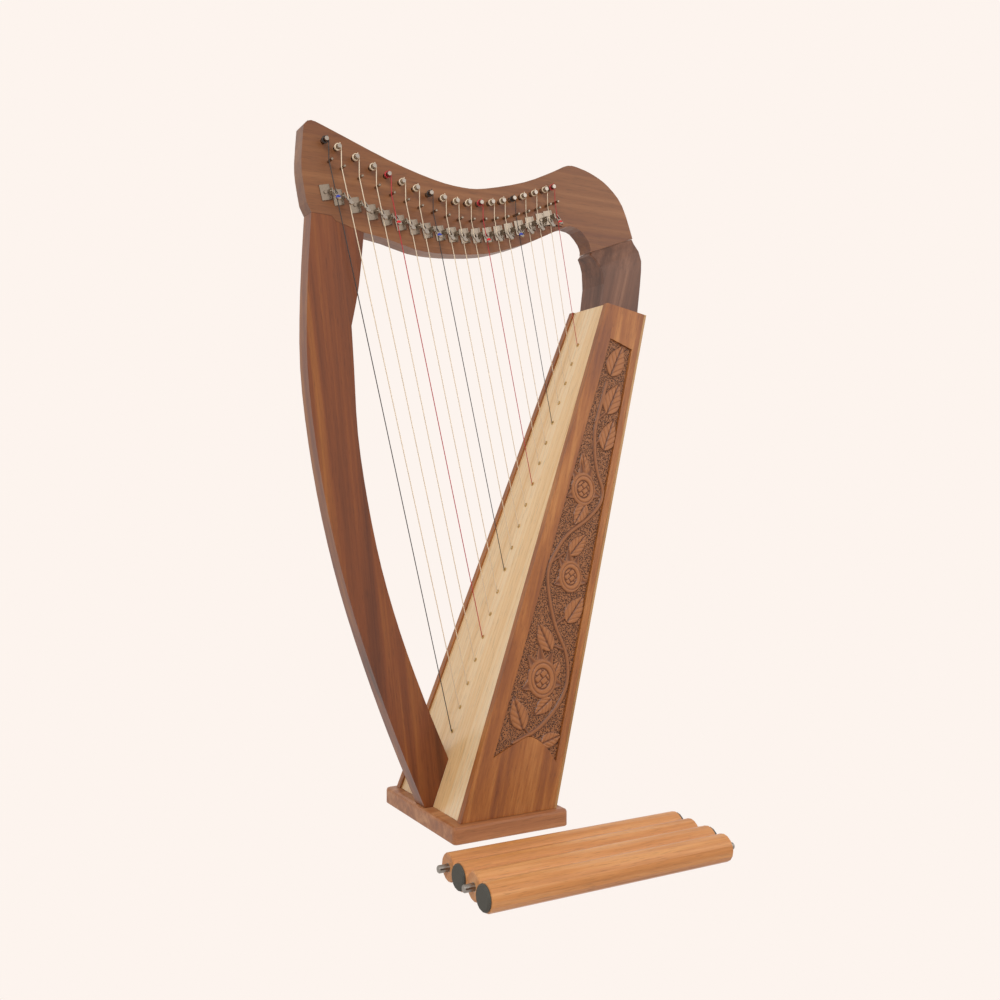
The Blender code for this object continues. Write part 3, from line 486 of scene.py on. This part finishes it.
bmesh.ops.recalc_face_normals(bm, faces=bm.faces)
bmesh.ops.bevel(bm, geom=list(bm.edges), offset=RIB_EDGE, segments=2, affect="EDGES")
rib_mesh = bpy.data.meshes.new("string_rib")
bm.to_mesh(rib_mesh)
bm.free()
fit(bpy.data.objects.new("string_rib", rib_mesh), block_wood, "frame")

# String eyelets: small grommets, one for each string, which are pressed into the soundboard's
# holes and keep the strings from cutting the spruce.
EYELET_PROFILE = (
    (0.0014, -0.0022), (0.00145, 0.0002), (0.0026, 0.0002), (0.0024, 0.0006), (0.0012, 0.0007),
    (0.0011, -0.0022),
)
ROUND_SIDES = 20

# Pressed brass: dull gold, with a soft shine that varies in fine specks.
brass, tree, shader = finish_of("pressed brass", 0.30, metallic=1.0)
specks = node(tree, "TexNoise", {"Scale": 700.0}).outputs["Fac"]
tree.links.new(tints(tree, specks, ((0.3, "#a98246"), (0.7, "#d9b878"))), shader.inputs["Base Color"])


def shell(name, rows, looped):
    """A closed mesh from closed rows of points: looped round, or capped at both ends."""
    bm = bmesh.new()
    rows = [[bm.verts.new(point) for point in row] for row in rows]
    for a, b in zip(rows, rows[1:] + (rows[:1] if looped else [])):
        for k in range(len(a)):
            n = (k + 1) % len(a)
            bm.faces.new((a[k], a[n], b[n], b[k]))
    if not looped:
        bm.faces.new(rows[0])
        bm.faces.new(rows[-1])
    bmesh.ops.recalc_face_normals(bm, faces=bm.faces)
    mesh = bpy.data.meshes.new(name)
    bm.to_mesh(mesh)
    bm.free()
    mesh.shade_smooth()
    return bpy.data.objects.new(name, mesh)


def ring(side, other):
    """Directions all round, from one direction towards the other."""
    angles = [2 * math.pi * k / ROUND_SIDES for k in range(ROUND_SIDES)]
    return [side * math.cos(angle) + other * math.sin(angle) for angle in angles]


side = INTO_BOX.orthogonal().normalized()
for number, hole in zip(STRING_NUMBERS, holes):
    rows = [[hole - INTO_BOX * height + away * radius for radius, height in EYELET_PROFILE]
            for away in ring(side, INTO_BOX.cross(side))]
    fit(shell(f"eyelet_{number:02d}", rows, True), brass, "frame")

# Lever sleeves: thin plastic tubes that are pushed over six of the handles to mark the notes.
# Blue ones are on the black strings' levers and red ones on the red strings'.
HANDLE_LEAN = math.radians(35)
SLEEVE_RINGS = ((0.0086, 0.00165), (0.0092, 0.0024), (0.0112, 0.0031), (0.0118, 0.0031), (0.0118, 0.0020))
SLEEVE_HALF_THICKNESS = 0.00125
# Soft PVC: evenly coloured, smooth and a little glossy
SLEEVE_IOR = 1.46
sleeve_plastics = {name: tinted(f"{name} sleeve", hex_text, 0.35, SLEEVE_IOR, 300.0, 2.0, 0.9, 1.1)
                   for name, hex_text in (("blue", "#2b3fa8"), ("red", "#d8232a"))}
for number in RED_STRINGS + BLACK_STRINGS:
    joint = joints[f"sharpen_{number:02d}"]
    across, pivot = -Vector(joint["axis"]), Vector(joint["pos_m"])
    down, out = Vector((across.z, 0, -across.x)), Vector((0, -1, 0))
    handle = down * math.cos(HANDLE_LEAN) + out * math.sin(HANDLE_LEAN)
    flat = handle.cross(across) * SLEEVE_HALF_THICKNESS
    rows = [[pivot + handle * along + away for away in ring(across * half_width, flat)]
            for along, half_width in SLEEVE_RINGS]
    plastic = sleeve_plastics["red" if number in RED_STRINGS else "blue"]
    fit(shell(f"sleeve_{number:02d}", rows, False), plastic, f"lever_arm_{number:02d}")

# Legs: four turned dowels of a paler, orange wood, each with a threaded steel stud in one end.
# They screw into the base, and are taken off and laid side by side, turned end for end in turn.
LEGS = range(1, 5)
STUD_REACH = 0.0043
leg_wood = wood("lacquered leg dowel", "#a96a33", "#cd8a4e", "#e2a76d", lean=FLAT)


def near_axis_of(leg):
    low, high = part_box(f"leg_foot_{leg}")
    middle = (0, (low[1] + high[1]) / 2, (low[2] + high[2]) / 2)

    def near_axis(tree, place):
        flat = node(tree, "VectorMath", {0: place, 1: (0, 1, 1)}, operation="MULTIPLY").outputs["Vector"]
        off = node(tree, "VectorMath", {0: flat, 1: middle}, operation="DISTANCE").outputs["Value"]
        return node(tree, "Math", {0: off, 1: STUD_REACH}, operation="LESS_THAN").outputs["Value"]

    return near_axis


for leg in LEGS:
    studded = leg_wood.copy()
    studded.name = f"lacquered leg dowel {leg}"
    join_finishes(studded, "#8f8b85", 0.35, near_axis_of(leg))
    give_finish(f"leg_dowel_{leg}", studded)

# Leg feet: soft rubber buttons, moulded and pushed on to the lower ends of the legs.
# Moulded rubber is nearly black and dull, with a fine grit.
rubber, tree, shader = finish_of("moulded rubber", 0.7, ior=1.52)
grit = node(tree, "TexNoise", {"Scale": 1500.0}).outputs["Fac"]
tree.links.new(tints(tree, grit, ((0.3, "#3a3a35"), (0.7, "#52524b"))), shader.inputs["Base Color"])
for leg in LEGS:
    give_finish(f"leg_foot_{leg}", rubber)

# Floor and backdrop: warm white paper, evenly lit and without a shadow, as in the photograph.
# Seen directly or in a reflection it has the paper's own tint; for other light it is a matt floor.
PAPER = "#fdf4ee"
FLOOR_SIZE, FLOOR_AWAY, FLOOR_DROP = 8, 1.0, 0.0002


def seen_or_mirrored(tree):
    rays = node(tree, "LightPath").outputs
    mirrored = node(tree, "Math", {0: rays["Is Glossy Ray"], 1: rays["Is Transmission Ray"]},
                    operation="MAXIMUM").outputs["Value"]
    return node(tree, "Math", {0: rays["Is Camera Ray"], 1: mirrored}, operation="MAXIMUM").outputs["Value"]


paper, tree, shader = finish_of("studio paper", 0.9, ior=1.5)
shader.inputs["Base Color"].default_value = colour("#d8d0ca")
glow = node(tree, "Emission", {"Color": colour(PAPER), "Strength": 1.0})
both = node(tree, "MixShader", {0: seen_or_mirrored(tree), 1: shader.outputs["BSDF"],
                                2: glow.outputs["Emission"]})
tree.links.new(both.outputs["Shader"], tree.nodes["Material Output"].inputs["Surface"])
bpy.ops.mesh.primitive_plane_add(size=FLOOR_SIZE, location=(0, FLOOR_AWAY, -FLOOR_DROP))
floor = bpy.context.object
floor.name = "floor"
floor.data.materials.append(paper)

# Studio room: for the object's light it is dim below and bright above the horizon, and a large key
# lamp stands to the left of the camera, with a weaker one to the right.
world = bpy.data.worlds.new("studio")
bpy.context.scene.world = world
world.use_nodes = True
tree = world.node_tree
height = node(tree, "SeparateXYZ", {"Vector": node(tree, "TexCoord").outputs["Generated"]}).outputs["Z"]
room_tint = tints(tree, height, ((0.0, "#4a4039"), (0.30, "#8d857e"), (0.65, "#f2ede8"), (1.0, "#b5aea8")))
sky = node(tree, "Mix", {"Factor": seen_or_mirrored(tree), "A": room_tint, "B": colour(PAPER)},
           data_type="RGBA")
tree.links.new(sky.outputs[2], tree.nodes["Background"].inputs["Color"])
LAMPS = (
    ("key light", (-1.2, -1.8, 1.9), (0, 0, 0.4), 1.2, 30),
    ("fill light", (1.6, -1.4, 1.2), (0, 0, 0.35), 1.6, 9),
)
for name, place, target, size, watts in LAMPS:
    light = bpy.data.lights.new(name, "AREA")
    light.size = size
    light.energy = watts
    lamp = bpy.data.objects.new(name, light)
    bpy.context.scene.collection.objects.link(lamp)
    lamp.location = place
    lamp.rotation_euler = (Vector(target) - Vector(place)).to_track_quat("-Z", "Y").to_euler()

# Camera: fitted to the photograph. It is level, 375 mm above the floor and about 1.25 m from the
# harp, and is turned 29 degrees towards the player's side.
camera = bpy.data.cameras.new("photo camera")
camera.lens = 37.72
camera.sensor_width = 36
view = bpy.data.objects.new("photo camera", camera)
bpy.context.scene.collection.objects.link(view)
view.location = (-0.5847, -1.1094, 0.375)
view.rotation_euler = (math.radians(90), 0, math.radians(-29.245))
bpy.context.scene.camera = view
bpy.context.scene.view_settings.view_transform = "Standard"
